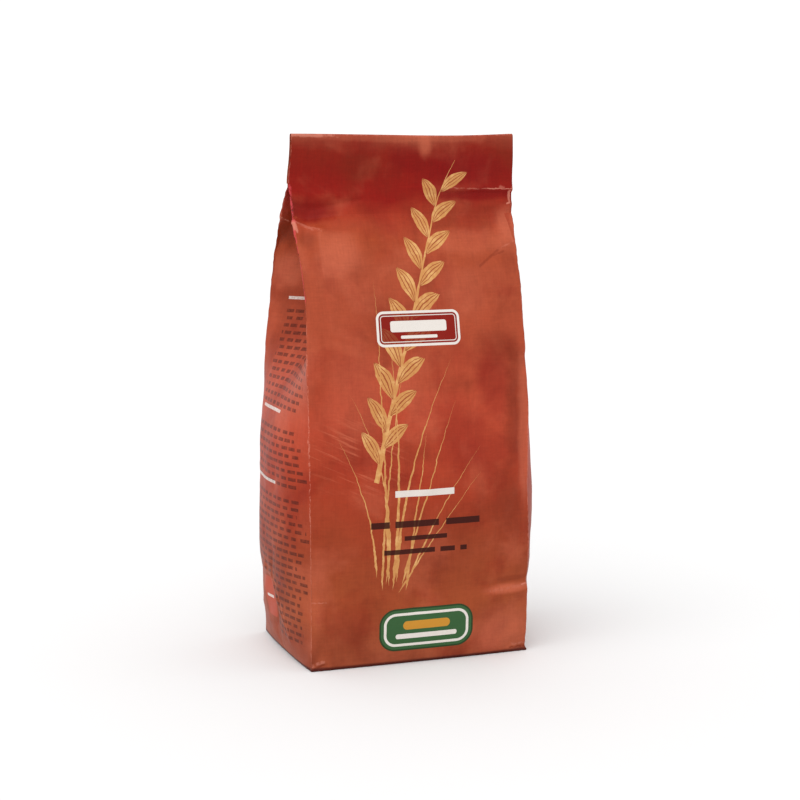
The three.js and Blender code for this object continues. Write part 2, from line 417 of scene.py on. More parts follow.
# %% What the handled bag shows on its front
def front(x, z):
    return FRONT_MIDDLE + x, z


relief = np.zeros(S.shape)
relief += dent(front(-51, 236), (17, 9), 80, 2.0)  # the pressed-in spot under the band
relief += crease(front(-62, 231), front(-46, 225), 0.9, 5, 2)
relief += crease(front(-46, 225), front(-20, 228), 0.35, 7, 4)
relief += crease(front(-48, 226), front(-50, 210), 0.5, 1.2, 7)
relief += crease(front(-49, 211), front(-38, 193), 0.25, 2, 5)
relief += crease(front(38, 207), front(49, 214.5), -0.7, 2.5, 4)  # a small bent crease
relief += crease(front(49, 214.5), front(59, 219), 0.5, 1.5, 5)
relief += crease(front(2, BAND_FOOT - 1), front(64, BAND_FOOT - 2), 0.55, 0.8, 3)
relief += crease(front(20, BAND_FOOT - 3.6), front(64, BAND_FOOT - 4), -0.9, 4, 0.9)
relief += crease(front(-64, BAND_FOOT - 1), front(10, BAND_FOOT - 1), -0.4, 4, 1.2)
relief += crease(front(61, 248), front(61.5, 236), 0.9, 1, 2)
relief += crease(front(59, 237), front(40, 228), 0.35, 3, 5)
relief += crease(front(60, 160), front(53, 142), -0.5, 2, 5)  # facets along the right fold
relief += crease(front(53, 142), front(54, 112), -0.45, 2, 5)
relief += crease(front(54, 112), front(60, 88), -0.4, 2, 5)
relief += crease(front(30, 38.5), front(61, 39), -0.6, 4, 3)  # the base's fold, pressed flat once
relief += crease(front(32, 33), front(61, 33.5), 0.7, 4, 3)
relief += crease(front(-61, 37), front(-44, 36), 0.3, 1, 1.5)
relief += dent(front(-57, 2), (7, 7), 20, 1.3)  # the pinched lower corners
relief += dent(front(57, 2), (7, 8), 100, 1.3)
relief += crease(front(-60, 1), front(-53, 5.5), 0.7, 1.2, 1.2)
relief += crease(front(61, 5), front(50, 3), 0.5, 1.2, 1.2)
print("the deepest spot on the front is", relief.min().round(2), "mm")


# %% And on its left side
SHARPNESS = 1.7  # satin paper takes a sharp crease


def left(p, z):
    return LEFT_MIDDLE + p, z


relief += crease(left(-43, 232), left(-36, 229.5), 0.3, 2, 3)
relief += dent(left(-36, 223), (7, 9), 30, 0.9)
relief += crease(left(-36, 217), left(-28, 206), 0.4, 3, 5)
relief += crease(left(-13, 46), left(0, 41), 0.6, 2, 3)  # the rim of a thumb's dent
relief += crease(left(0, 41), left(9, 30), 0.7, 2, 3)
relief += crease(left(9, 30), left(21, 12), 0.6, 2, 3)
relief += dent(left(-2, 26), (14, 18), 60, 1.2, 4)
relief += crease(left(-40, 41), left(40, 39), -0.2, 4, 4)  # the base's fold
relief += crease(left(-42, 14), left(-12, 36), 0.25, 3, 3)
relief *= SHARPNESS
print("and with the left side, sharpened,", relief.min().round(2), "mm")

# %% [markdown]
# The back and the right side were handled like the rest. Placing every small crease by hand would
# take a day, so a seeded random hand adds them everywhere, more of them near the folds and the
# band. The seed gives the same creases on every run.

# %% Small creases all over
SMALL_CREASES, NEAR_A_FOLD = 150, 0.55  # how many, and the share of them that lie near a fold
FROM_FOLD = 7.0  # how far those stray from it
HEIGHTS_SHARE = (0.6, 0.25, 0.15)  # anywhere, under the band, and near the base
handling = np.random.default_rng(11)
for _ in range(SMALL_CREASES):
    fold = handling.choice(UPRIGHT_FOLDS + (LEFT_MIDDLE, RIGHT_MIDDLE))
    near_fold = handling.random() < NEAR_A_FOLD
    start_s = fold + handling.normal(0, FROM_FOLD) if near_fold else handling.uniform(0, GIRTH)
    heights = [handling.uniform(4, 245), handling.normal(236, 8), handling.normal(20, 14)]
    start_t = handling.choice(heights, p=HEIGHTS_SHARE)
    slant = handling.uniform(0, math.pi)
    length = handling.uniform(5, 26)
    height = handling.normal(0, 0.22)
    slopes = handling.uniform(1.2, 5, 2)
    end_s, end_t = start_s + length * math.cos(slant), start_t + length * math.sin(slant)
    relief += crease((start_s, start_t), (end_s, end_t), height, *slopes)
print("with the small creases, from", relief.min().round(2), "to", relief.max().round(2), "mm")

# %% Soft lumps of the contents, and uneven folds
relief += lumps(70, 0.35, 14, seed=2)
relief += lumps(24, 0.12, 40, seed=3) * smooth(8, 40, T) * (1 - smooth(190, 235, T))
relief += lumps(9, 0.035, 60, seed=4) * smooth(4, 20, T) * (1 - smooth(200, 240, T))
FOLD_WIDTH = 1.6
for fold in UPRIGHT_FOLDS:
    on_fold = np.exp(-((apart(S, fold) / FOLD_WIDTH) ** 2))
    uneven = lumps(4.5, 0.16, 50, seed=int(fold)) * smooth(150, 235, T)
    uneven = uneven + lumps(11, 0.06, 30, seed=int(fold) + 1)
    relief += on_fold * uneven
print("with the lumps, from", relief.min().round(2), "to", relief.max().round(2), "mm")

# %% The base's fold and the glued seam
BASE_CREASE_DEPTH, BASE_CREASE_REACH = 0.4, 7.0
SEAM_THICKNESS, SEAM_WIDTH = 0.3, 12.2  # the overlap at the seam is one paper thicker
relief -= BASE_CREASE_DEPTH * np.exp(-(((T - BASE_CREASE) / BASE_CREASE_REACH) ** 2))
relief += SEAM_THICKNESS * smooth(0, 0.9, S) * (1 - smooth(SEAM_WIDTH - 1.2, SEAM_WIDTH, S))

# %% Where the bag is thin or rests on the table, it keeps still
LEAST_RELIEF = 0.12  # what is left of the relief where all layers are pressed together
front_depth, back_depth = folds(np.clip(T, RIM, None))[1:]
half_gap = (back_depth - front_depth) / 2
relief *= smooth(ON_RIM, 3, T) * (1 - smooth(CUT_EDGE - 3, CUT_EDGE, T))
relief *= mix(LEAST_RELIEF, 1, smooth(0.5, 7, half_gap))
print("relief from", relief.min().round(2), "to", relief.max().round(2), "mm")


# %% Add the relief along the bag's normals
def normals(points):
    """Outward normals of the grid, which closes round the bag."""
    loop = np.concatenate([points[:, -2:-1], points[:, :-1], points[:, :2]], axis=1)
    round_bag = loop[:, 2:] - loop[:, :-2]
    round_bag = round_bag[:, : points.shape[1]]
    up_bag = np.gradient(points, axis=0)
    square = np.cross(round_bag, up_bag)
    size = np.linalg.norm(square, axis=-1, keepdims=True)
    return square / np.maximum(size, 1e-9)


creased = places + relief[..., None] * normals(places)
creased[:, -1] = creased[:, 0]
print("creased bag, lowest", creased.min((0, 1)).round(1), "highest", creased.max((0, 1)).round(1))

# %% [markdown]
# The tucked sides lie close behind the front and the back under the band. Where a panel was
# pressed in, the layer behind it had to give way, so here each tucked half is kept a paper's
# thickness behind its panel. A cloth simulation with collisions would take minutes for this, and
# one pass over the rows, a row at a time, is enough.

# %% Push the tucked layers clear of the panels
LAYER_GAP, GAP_SLOPE = 0.35, 0.2  # the gap, and how fast it opens away from a fold
LAYERS_MEET = 150.0  # above this height


def between(start, end):
    return (around > start - 0.01) & (around < end + 0.01)


front_panel = between(FRONT_START, RIGHT_START)
back_panel = between(BACK_START, GIRTH) | between(0, LEFT_START)
left_front, left_back = between(LEFT_MIDDLE, FRONT_START), between(LEFT_START, LEFT_MIDDLE)
right_front, right_back = between(RIGHT_START, RIGHT_MIDDLE), between(RIGHT_MIDDLE, BACK_START)
LAYERS = (  # a layer, what lies next to it further in, and which way that is
    (front_panel, left_front | right_front, 1), (back_panel, left_back | right_back, -1),
    (left_front, left_back, 1), (right_front, right_back, 1),
)
most_pushed = 0
for line in np.flatnonzero((along > LAYERS_MEET) & (along < BAND_FOOT)):
    for layer, next_layer, inwards in LAYERS:
        skin = creased[line, layer]
        skin = skin[skin[:, 0].argsort()]
        x, y = creased[line, next_layer, 0], creased[line, next_layer, 1] * inwards
        from_fold = np.minimum(x - skin[0, 0], skin[-1, 0] - x)
        clear = np.interp(x, skin[:, 0], skin[:, 1]) * inwards
        clear = clear + np.clip(GAP_SLOPE * from_fold, 0, LAYER_GAP)
        push = np.where(from_fold > 0, np.maximum(clear - y, 0), 0)
        creased[line, next_layer, 1] += push * inwards
        most_pushed = max(most_pushed, push.max())
print("tucked layers pushed clear by up to", most_pushed.round(2), "mm")

# %% [markdown]
# The shut mouth isn't quite flat either. All of its layers wave together, it leans forward, and its
# top fold sags. The filled bag also stands a little to its right. These are shifts of all the
# layers at a place, so they come last, when the layers already lie right.

# %% The shut mouth waves, leans and sags
HALF_BAND = 62.0
x, z = creased[..., 0], creased[..., 2]
into_band = smooth(BAND_FOOT - 10, BAND_FOOT + 4, z)
wave = 0.7 * np.sin(np.pi * (x / HALF_BAND + 1) + 0.6)  # one long wave,
wave = wave + 0.25 * np.sin(x / 9 + 1)  # a ripple,
wave = wave + 0.12 * np.sin(x / 4.3 + z / 9)  # and a fine slanting one
creased[..., 1] += into_band * wave
towards_top = smooth(BAND_FOOT, HEIGHT, z)
across = np.clip(x / BAND_WIDTH + 0.5, 0, 1)
creased[..., 0] += TOP_CORNER_SKEW * towards_top * (1 - across)
creased[..., 1] -= BAND_LEAN * towards_top
creased[..., 2] -= TOP_SAG * towards_top * np.sin(np.pi * across**1.7)
print("the mouth waves by up to", np.abs(into_band * wave).max().round(2), "mm")

# %% It was filled by hand, so it stands a little to its right, and its band sits that way too
MORE_RIGHT, BAND_ASIDE, NECK_ASIDE = 1.0, 0.7, 0.8
NECK_HEIGHT, NECK_REACH = 233.0, 9.0  # the neck is the narrow place under the band
x, z = creased[..., 0], creased[..., 2]
creased[..., 0] += MORE_RIGHT * smooth(10, 60, x) * (1 - smooth(150, 185, z))
creased[..., 0] += BAND_ASIDE * smooth(205, 232, z) * (1 - smooth(258, HEIGHT, z))
creased[..., 0] += NECK_ASIDE * np.exp(-(((z - NECK_HEIGHT) / NECK_REACH) ** 2))
print("from side to side", creased[..., 0].min().round(1), "to", creased[..., 0].max().round(1), "mm")

# %% [markdown]
# Now the grid's points move to their places, and its corners keep where they were on the flat sheet
# as the map that the print is laid out on. The sheet's two long edges meet at the glued seam, and
# its ends meet under the base and at the cut edge, so they are welded and the skin is closed.

# %% Put the points in place, and give the sheet its map
here = (creased[row, column] + [0, DEPTH_SHIFT, 0]) * MM
bag.data.vertices.foreach_set("co", here.ravel())
bag.data.update()
loops = np.empty(len(bag.data.loops), int)
bag.data.loops.foreach_get("vertex_index", loops)
map_across = around[column[loops]] / GIRTH
map_up = (along[row[loops]] - SHEET_START) / SHEET_LENGTH
bag.data.uv_layers[0].data.foreach_set("uv", np.stack([map_across, map_up], -1).ravel())
print("the map has", len(loops), "corners")

# %% Weld the seam, the base and the cut edge
WELD = 0.002 * MM
bpy.ops.object.mode_set(mode="EDIT")
bpy.ops.mesh.select_mode(type="VERT")
bpy.ops.mesh.select_all(action="DESELECT")
bpy.ops.object.mode_set(mode="OBJECT")
edges_of_sheet = (column == 0) | (column == COLUMNS) | (row == 0) | (row == ROWS)
bag.data.vertices.foreach_set("select", edges_of_sheet)
bpy.ops.object.mode_set(mode="EDIT")
bpy.ops.mesh.remove_doubles(threshold=WELD)
bpy.ops.object.mode_set(mode="OBJECT")
bpy.ops.object.shade_smooth()
print("after welding", len(bag.data.vertices), "points and", len(bag.data.polygons), "faces")

# %% [markdown]
# ## The print
#
# The paper is a smooth satin sheet, printed all over in rust, crimson and terracotta, as uneven as
# a watercolour. On top lie pale marks in the colour of straw, white and dark bars, and a green
# badge. Everything is worked out from the sheet's own millimetres, so the print bends and creases
# with the paper. A picture laid on the sheet would do the same, but it is only as sharp as its
# pixels, and a shape that is worked out stays sharp at any distance.
#
# Shader maths is easier to read as Python. A Wire is a socket with operators, and each operator
# adds the Math node that it stands for. Every node costs the renderer a little at every point, so
# the shapes below are put together from as few as will do.

# %% A small language for shader maths
paper = bpy.data.materials.new("printed_paper")
paper.use_nodes = True
tree = paper.node_tree
shader = tree.nodes["Principled BSDF"]


class Wire:
    """A socket's value. An operator on it adds the Math node for that operator."""

    def __init__(self, socket):
        self.socket = socket

    def math(self, operation, *others, clamp=False):
        settings = {"operation": operation, "use_clamp": clamp}
        return node("ShaderNodeMath", settings, [self, *others])["Value"]

    def __add__(self, other):
        return self.math("ADD", other)

    def __mul__(self, other):
        return self.math("MULTIPLY", other)

    def __sub__(self, other):
        return self.math("SUBTRACT", other)

    def __rsub__(self, other):
        return self.math("MULTIPLY_ADD", -1, other)

    def __abs__(self):
        return self.math("ABSOLUTE")

    def __lt__(self, other):
        return self.math("LESS_THAN", other)

    __radd__ = __add__
    __rmul__ = __mul__


def node(kind, settings, inputs):
    """Adds a node with its settings first, then its inputs, and gives its outputs as Wires."""
    made = tree.nodes.new(kind)
    for name, value in settings.items():
        if name == "stops":
            points = made.color_ramp.elements
            while len(points) < len(value):
                points.new(1)
            for point, (position, colour) in zip(points, value):
                point.position, point.color = position, colour
        else:
            setattr(made, name, value)
    free = [socket for socket in made.inputs if socket.enabled]
    named = inputs.items() if isinstance(inputs, dict) else enumerate(inputs)
    for name, value in named:
        socket = free[name] if isinstance(name, int) else {s.name: s for s in free}[name]
        if isinstance(value, Wire):
            tree.links.new(value.socket, socket)
        else:
            socket.default_value = value
    return {socket.name: Wire(socket) for socket in made.outputs if socket.enabled}


# %% Short names for the nodes that are used most
def vector_math(operation, first, *others, output="Vector"):
    return node("ShaderNodeVectorMath", {"operation": operation}, [first, *others])[output]


def scaled(vector, factor):
    """A vector or a colour, times one number."""
    settings = {"operation": "SCALE"}
    return node("ShaderNodeVectorMath", settings, {"Vector": vector, "Scale": factor})["Vector"]


def rotated(vector, degrees):
    """A vector that lies in the sheet, turned in the sheet."""
    inputs = {"Vector": vector, "Angle": math.radians(degrees)}
    return node("ShaderNodeVectorRotate", {"rotation_type": "Z_AXIS"}, inputs)["Vector"]


def length_of(vector):
    return vector_math("LENGTH", vector, output="Value")


def parts(vector):
    """The x and y of a vector, as Wires."""
    split = node("ShaderNodeSeparateXYZ", {}, [vector])
    return split["X"], split["Y"]


def rounded(value, start, end, most=1.0):
    """0 up to start and `most` from end on, with a soft change between; end may be below start."""
    low, high, at_low, at_high = (start, end, 0.0, most) if start < end else (end, start, most, 0.0)
    settings = {"interpolation_type": "SMOOTHSTEP"}
    return node("ShaderNodeMapRange", settings, [value, low, high, at_low, at_high])["Result"]


def within(value, low, high):
    """1 between low and high, with a hard edge."""
    return value.math("COMPARE", (low + high) / 2, (high - low) / 2)


def strongest(masks):
    """The highest of several masks at each place."""
    highest = masks[0]
    for mask in masks[1:]:
        highest = highest.math("MAXIMUM", mask)
    return highest


def side_by_side(masks):
    """The sum of several masks that don't overlap."""
    return sum(masks[1:], start=masks[0])


print("the print starts from", len(tree.nodes), "nodes")


# %% Inks
UNDER_STUDIO_LIGHT = 0.7  # the lamps brighten what they light, so an ink is darker than it looks


def ink(red, green, blue):
    """A colour as it should look in the studio, 0-255 a channel, as the ink's own linear colour."""
    shares = [value / 255 for value in (red, green, blue)]
    light = [c / 12.92 if c <= 0.04045 else ((c + 0.055) / 1.055) ** 2.4 for c in shares]
    return tuple(c * UNDER_STUDIO_LIGHT for c in light) + (1,)


def lay(below, above, mask):
    """The colour above, laid over the colour below where the mask is 1."""
    settings = {"data_type": "RGBA", "clamp_factor": True}
    return node("ShaderNodeMix", settings, {"Factor": mask, "A": below, "B": above})["Result"]


print("an ink of middle grey is", round(ink(128, 128, 128)[0], 3), "in linear light")

CRIMSON, BROWN, PALE = ink(138, 10, 8), ink(126, 42, 18), ink(212, 108, 78)
STRAW, STRAW_SHADE, STRAW_LIGHT = ink(218, 154, 90), ink(158, 66, 36), ink(236, 180, 114)
WHITE, DARK = ink(244, 236, 228), ink(60, 20, 14)
GREEN, GREEN_EDGE, MUSTARD = ink(62, 102, 62), ink(48, 70, 40), ink(216, 152, 56)
# the pale rubbed ink paints the cracked ink and also painted highlights along edges and ridges
SALMON, RUBBED, PALE_WEAR_AND_HIGHLIGHT = ink(206, 84, 62), ink(218, 76, 80), ink(230, 144, 122)
# the soiled ink paints a shadow along the base's rim, where the bag meets the table
BARE, RIM_SHADOW_INK, UNDERSIDE = ink(222, 204, 184), ink(70, 16, 12), ink(168, 76, 48)

# %% The sheet's own millimetres: s round the bag, t up it
on_map = node("ShaderNodeUVMap", {"uv_map": bag.data.uv_layers[0].name}, {})["UV"]
sheet = vector_math("MULTIPLY_ADD", on_map, (GIRTH, SHEET_LENGTH, 0), (0, SHEET_START, 0))
s, t = parts(sheet)
print("s and t are read from the map called", bag.data.uv_layers[0].name)


# %% Smooth noise, for everything that is uneven
def noise(size, detail=2.0, rough=0.5, stretch=(1, 1), shift=0.0, bend=0.0):
    """Smooth noise whose spots are about `size` millimetres, as a value round 0.5."""
    scale = (1 / size / stretch[0], 1 / size / stretch[1], 0)
    where = vector_math("MULTIPLY_ADD", sheet, scale, (shift, shift, 0))
    inputs = {"Vector": where, "Scale": 1.0, "Detail": detail, "Roughness": rough, "Distortion": bend}
    return node("ShaderNodeTexNoise", {"noise_dimensions": "2D"}, inputs)["Fac"]


def swing(uneven, most):
    """Noise from 0 to 1, as a value that swings from -most to most."""
    return uneven.math("MULTIPLY_ADD", 2 * most, -most)


# %% [markdown]
# The ground colour is built as a painter would: a wash that changes with height, blooms of deeper
# and paler colour with soft edges, a few large blooms where the real sheet has them, and the faint
# weave of the canvas it was painted on. Some of the blooms are painted shade and painted highlights
# at dents, creases, the band's foot and the top edge, where light and shadow fall on the relief.
# One noise for all of it would be simpler, but it would put the deep and the pale places anywhere,
# and on a real sheet they have their places.

# %% The wash
WASH = [  # height and colour
    (0, ink(174, 86, 56)), (30, ink(171, 79, 43)), (60, ink(162, 68, 37)), (95, ink(175, 62, 36)),
    (130, ink(194, 76, 49)), (165, ink(183, 78, 49)), (205, ink(178, 78, 49)), (219, ink(177, 73, 39)),
    (228, ink(179, 70, 42)), (237, ink(176, 56, 33)), (245, ink(154, 23, 12)), (257, ink(146, 25, 12)),
    (266, ink(147, 33, 16)), (290, ink(181, 102, 73)),
]
WASH_TOP = WASH[-1][0]
uneven_height = t + swing(noise(38, 3, 0.55), 11)
stops = [(height / WASH_TOP, colour) for height, colour in WASH]
ground = node("ShaderNodeValToRGB", {"stops": stops}, [uneven_height * (1 / WASH_TOP)])["Color"]
SPOTS = [(PALE, 30, 0.3, 31.7), (BROWN, 36, 0.45, 58.1), (CRIMSON, 26, 0.3, 7.3)]
for colour, size, most, shift in SPOTS:  # how large, how strong, and from which part of the noise
    spots = noise(size, 4, 0.55, shift=shift, bend=0.3)
    ground = lay(ground, colour, rounded(spots, 0.46, 0.74, most))
print("the wash has", len(stops), "colours")

# %% Its blooms, some of them painted shade and painted highlights
CRIMSON_BLOOMS_AND_SHADOWS = [  # x and height of the middle, half width, half height, strength
    # painted shadows among these: in the dent under the band at (-49, 236), and the strip under the
    # band's foot at (40, 243)
    (33, 257, 30, 13, 0.75), (0, 263, 14, 10, 0.5), (-49, 236, 16, 8, 0.85), (-40, 135, 26, 34, 0.12),
    (40, 150, 14, 26, 0.45), (20, 120, 16, 26, 0.4), (40, 243, 40, 3.6, 0.75),
]
BROWN_BLOOMS_AND_SHADE = [
    # painted shade among these: above the low crease on the right (52, 41), beside the dent (-54.5,
    # 221) and on the tucked left side under the band (-139, 224)
    (52, 130, 8, 42, 0.5), (44, 166, 16, 14, 0.35), (-24, 258, 16, 11, 0.35), (50, 76, 16, 18, 0.3),
    (-44, 16, 16, 16, 0.35), (6, 60, 26, 20, 0.2), (-54.5, 221, 6, 6, 0.45), (-139, 224, 9, 8, 0.5),
    (52, 41, 13, 2.6, 0.35), (-72, 12, 26, 16, 0.3),
]
PALE_BLOOMS_AND_HIGHLIGHTS = [
    # painted highlights among these: the lit facet by the dent (-40, 213), the low crease on the right
    # (49, 35.6), the top edge (0, 273) and the left side under the band (-135, 204)
    (34, 219, 40, 9, 0.35), (-40, 213, 14, 13, 0.35), (56, 229, 9, 12, 0.5), (11, 270, 5, 9, 0.6),
    (58, 118, 5, 52, 0.5), (46, 14, 24, 16, 0.5), (-57, 44, 7, 26, 0.25), (26, 192, 18, 16, 0.25),
    (49, 35.6, 17, 3.2, 0.6), (0, 273, 66, 2.6, 0.3), (-135, 204, 13, 14, 0.55),
    (-72, 156, 20, 38, 0.35), (-36, 142, 22, 36, 0.25),
]
wander = swing(noise(14, 4, 0.6, shift=3.0), 0.35)  # so that no bloom is a clean ellipse


def bloom(below, colour, x, z, half_wide, half_high, most):
    """The colour below, with a soft patch laid over it round (x, z) on the front."""
    middle = (-(FRONT_MIDDLE + x) / half_wide, -z / half_high, 0)
    off = vector_math("MULTIPLY_ADD", sheet, (1 / half_wide, 1 / half_high, 0), middle)
    return lay(below, colour, rounded(length_of(off) + wander, 1.05, 0.3, most))


for colour, blooms in [(CRIMSON, CRIMSON_BLOOMS_AND_SHADOWS), (BROWN, BROWN_BLOOMS_AND_SHADE), (PALE, PALE_BLOOMS_AND_HIGHLIGHTS)]:
    for measures in blooms:
        ground = bloom(ground, colour, *measures)
print("with its blooms, the ground takes", len(tree.nodes), "nodes")

# %% A painted highlight on the facet beside the dent, where the light catches it
FACET_LEFT, FACET_RIGHT = FRONT_MIDDLE - 49.6, FRONT_MIDDLE - 22
facet_highlight = rounded(s, FACET_LEFT, FACET_LEFT + 1.4) * rounded(s, FACET_RIGHT, FACET_RIGHT - 16)
facet_highlight = facet_highlight * rounded(t, 200, 208) * rounded(t, 226, 222, 0.4)
ground = lay(ground, PALE, facet_highlight)

# %% A few dry brush strokes
STROKES, STROKE_TURN = (FRONT_MIDDLE - 36, 112.0, 0), 24.0
STROKE_LENGTH, STROKE_WIDTH = 26.0, 1.5
from_strokes = vector_math("SUBTRACT", sheet, STROKES)
swept = rotated(from_strokes, STROKE_TURN)
swept = vector_math("MULTIPLY", swept, (1 / STROKE_LENGTH, 1 / STROKE_WIDTH, 0))
bristles = {"Vector": swept, "Scale": 1.0, "Detail": 3.0}
strokes = node("ShaderNodeTexNoise", {"noise_dimensions": "2D"}, bristles)["Fac"]
off_strokes = length_of(vector_math("MULTIPLY", from_strokes, (1 / 34, 1 / 26, 0)))
ground = lay(ground, PALE, rounded(strokes, 0.54, 0.72, 0.55) * rounded(off_strokes, 1.0, 0.4))

# %% The canvas under the paint, and its fine grain
THREAD, THREAD_STRETCH = 0.9, 12
upright = noise(THREAD, 2, 0.6, stretch=(1, THREAD_STRETCH))
weave = upright + noise(THREAD, 2, 0.6, stretch=(THREAD_STRETCH, 1))
grain = noise(1.8, 4, 0.75) + noise(7, 4, 0.6, stretch=(1, 4), shift=3.0)
shade = weave.math("MULTIPLY_ADD", 0.16, 0.64) + grain * 0.2  # round 0.8, so it darkens a little
art = scaled(ground, shade)
print("the ground takes", len(tree.nodes), "nodes")

# %% [markdown]
# On the front, a leafy sprig in the colour of straw runs from the lower left to the top right,
# with a few long blades of grass. It's an ordinary printer's ornament: one stem, and leaves in
# pairs that get smaller towards the tip. Each leaf could be a shape of its own. Here the stem is cut
# into equal steps instead, and one leaf is worked out within a step, so all of them cost as much as
# one on each side.

# %% The painter's hand
brush_wobble = swing(noise(5, 2, 0.5, shift=6.0), 0.7)
paint = noise(2.4, 3, 0.6).math("MULTIPLY_ADD", 0.8, 0.56, clamp=True)  # thin in places
straw = lay(STRAW, STRAW_LIGHT, rounded(noise(7, 3, 0.6, shift=4.0), 0.45, 0.7))

# %% The stem
STEM_FOOT, STEM_TURN = (-26.0, 98.0), 72.0  # where it starts, and its slope in degrees
STEM_LENGTH, STEM_BEND = 172.0, 18.0
STEM_THICKNESS, STEM_TAPER = 1.4, 1.3
from_foot = vector_math("SUBTRACT", sheet, (FRONT_MIDDLE + STEM_FOOT[0], STEM_FOOT[1], 0))
along_stem, beside = parts(rotated(from_foot, -STEM_TURN))
up_stem = along_stem * (1 / STEM_LENGTH)
beside = beside - up_stem * (1 - up_stem) * STEM_BEND
stem = abs(beside + brush_wobble * 0.5) < up_stem.math("MULTIPLY_ADD", -STEM_TAPER, STEM_THICKNESS)
art = lay(art, straw, stem * within(up_stem, 0, 1) * paint)

# %% Its leaves
LEAF_SPACING, LEAF_LENGTH, LEAF_WIDTH = 17.0, 20.0, 3.7
LEAF_TURN, TURN_MORE = 38.0, 5.0  # away from the stem, and by how much the two sides differ
LEAF_ARCH, LEAF_SHIFT = 1.3, 0.4  # how a leaf arches off its own line
FIRST_LEAF, LARGEST_LEAF, LAST_LEAF = 1, 4, 9
SHRINK, LARGEST = 0.06, 0.88  # these divide, so that the leaves at both ends are small
VEIN, SIDE_VEIN = 0.32, (-0.2, 0.16)
for side in (-1, 1):
    step = along_stem.math("MULTIPLY_ADD", 1 / LEAF_SPACING, 0.25 + 0.25 * side)
    pair = step.math("FLOOR")
    size = abs(pair - LARGEST_LEAF).math("MULTIPLY_ADD", SHRINK, LARGEST)
    in_step = [step.math("FRACT") * LEAF_SPACING - 1, beside * side, 0]
    out = node("ShaderNodeCombineXYZ", {}, in_step)["Vector"]
    out = rotated(out, -(LEAF_TURN + TURN_MORE * side))
    along_leaf, off_leaf = parts(scaled(out, size))
    swell = along_leaf * (LEAF_LENGTH - along_leaf) * (4 / LEAF_LENGTH**2)  # 1 in a leaf's middle
    off_leaf = abs(off_leaf + swell * LEAF_ARCH - LEAF_SHIFT + brush_wobble * 0.7)
    leaf = (off_leaf < swell * LEAF_WIDTH) * within(pair, FIRST_LEAF - 0.5, LAST_LEAF + 0.5)
    art = lay(art, straw, leaf * paint)
    veins = (off_leaf < swell * VEIN) + within(off_leaf - swell * (LEAF_WIDTH * 0.5), *SIDE_VEIN)
    art = lay(art, STRAW_SHADE, leaf * veins * 0.85)
print("with the sprig", len(tree.nodes), "nodes")


# %% And its blades of grass
BLADES = [  # x and height of the foot, length, lean, bend and thickness
    (-21, 44, 100, 16, -34, 0.7), (-17, 41, 132, 12, -12, 1.0), (-12, 43, 96, 24, 6, 0.75),
    (-15, 45, 116, 2, 30, 0.9), (-26, 48, 74, -2, -18, 0.6), (-8, 47, 68, 28, 12, 0.6),
    (-19, 43, 158, -8, 4, 0.8), (-10, 40, 84, 10, 2, 0.8), (-14, 39, 62, 40, 6, 0.6),
    (-23, 41, 120, 2, 12, 0.7),
]
FOOT_STEEPNESS = 12  # how quickly a blade gets its thickness above its foot
hand_drawn = s + brush_wobble


def blade(x, z, length, lean, bend, thick):
    """A long thin blade that starts at (x, z) on the front and tapers to its tip."""
    up = t.math("MULTIPLY_ADD", 1 / length, -z / length)
    middle = (up * bend + lean) * up + (FRONT_MIDDLE + x)
    thickness = up.math("MULTIPLY_ADD", -thick, thick).math("MINIMUM", up * (FOOT_STEEPNESS * thick))
    return abs(hand_drawn - middle) < thickness


art = lay(art, straw, strongest([blade(*measures) for measures in BLADES]) * paint)
print("with", len(BLADES), "blades", len(tree.nodes), "nodes")

# %% [markdown]
# ## Shapes on the print
#
# A printed shape is a mask: 1 inside and 0 outside. Lines of print are plain bars, as on a
# designer's first sketch, and the framed plate holds two of them. A frame is the same distance as
# its plate's, cut off between two values, so it needs no shape of its own.

# %% Masks
def rounded_box(middle, wide, high, radius):
    """How far a point lies from the core of a box with round corners, less the corners' radius."""
    off = vector_math("ABSOLUTE", vector_math("SUBTRACT", sheet, (*middle, 0)))
    off = vector_math("SUBTRACT", off, (wide / 2 - radius, high / 2 - radius, 0))
    off = vector_math("MAXIMUM", off, (0, 0, 0))
    return length_of(off) - radius


def bar(middle, wide, high, radius):
    """The inside of such a box, as a mask."""
    return rounded_box(middle, wide, high, radius) < 0


# %% A plain title plate
PLATE, PLATE_WIDTH, PLATE_HEIGHT = (FRONT_MIDDLE - 0.5, 176.0), 46.0, 18.0
FRAME, FINE_LINE = (-1.3, 0), (-2.6, -2.2)  # from the plate's edge inwards
plate = rounded_box(PLATE, PLATE_WIDTH, PLATE_HEIGHT, 4)
art = lay(art, CRIMSON, (plate < 0) * 0.85)
art = lay(art, WHITE, within(plate, *FRAME) + within(plate, *FINE_LINE))
art = lay(art, WHITE, bar((PLATE[0], PLATE[1] + 1.2), 31, 5.6, 1.2))
art = lay(art, WHITE, bar((PLATE[0], PLATE[1] - 4.2), 20, 1.6, 0.6))

# %% Bars for the small lines under it
LINES = [  # ink, height, tallness, and where each bar starts and ends
    (WHITE, 91.5, 3.4, [(-16, 16.5)]),
    (DARK, 75.5, 3.4, [(-29, -19), (-16, 8), (12, 30.5)]),
    (DARK, 68, 2.4, [(-11, 12.6)]),
    (DARK, 61, 2.6, [(-22, 6), (9, 17), (20, 23.6)]),
]
for colour, height, tall, bars in LINES:
    marks = side_by_side([within(s, FRONT_MIDDLE + start, FRONT_MIDDLE + end) for start, end in bars])
    art = lay(art, colour, marks * within(t, height - tall / 2, height + tall / 2) * 0.95)

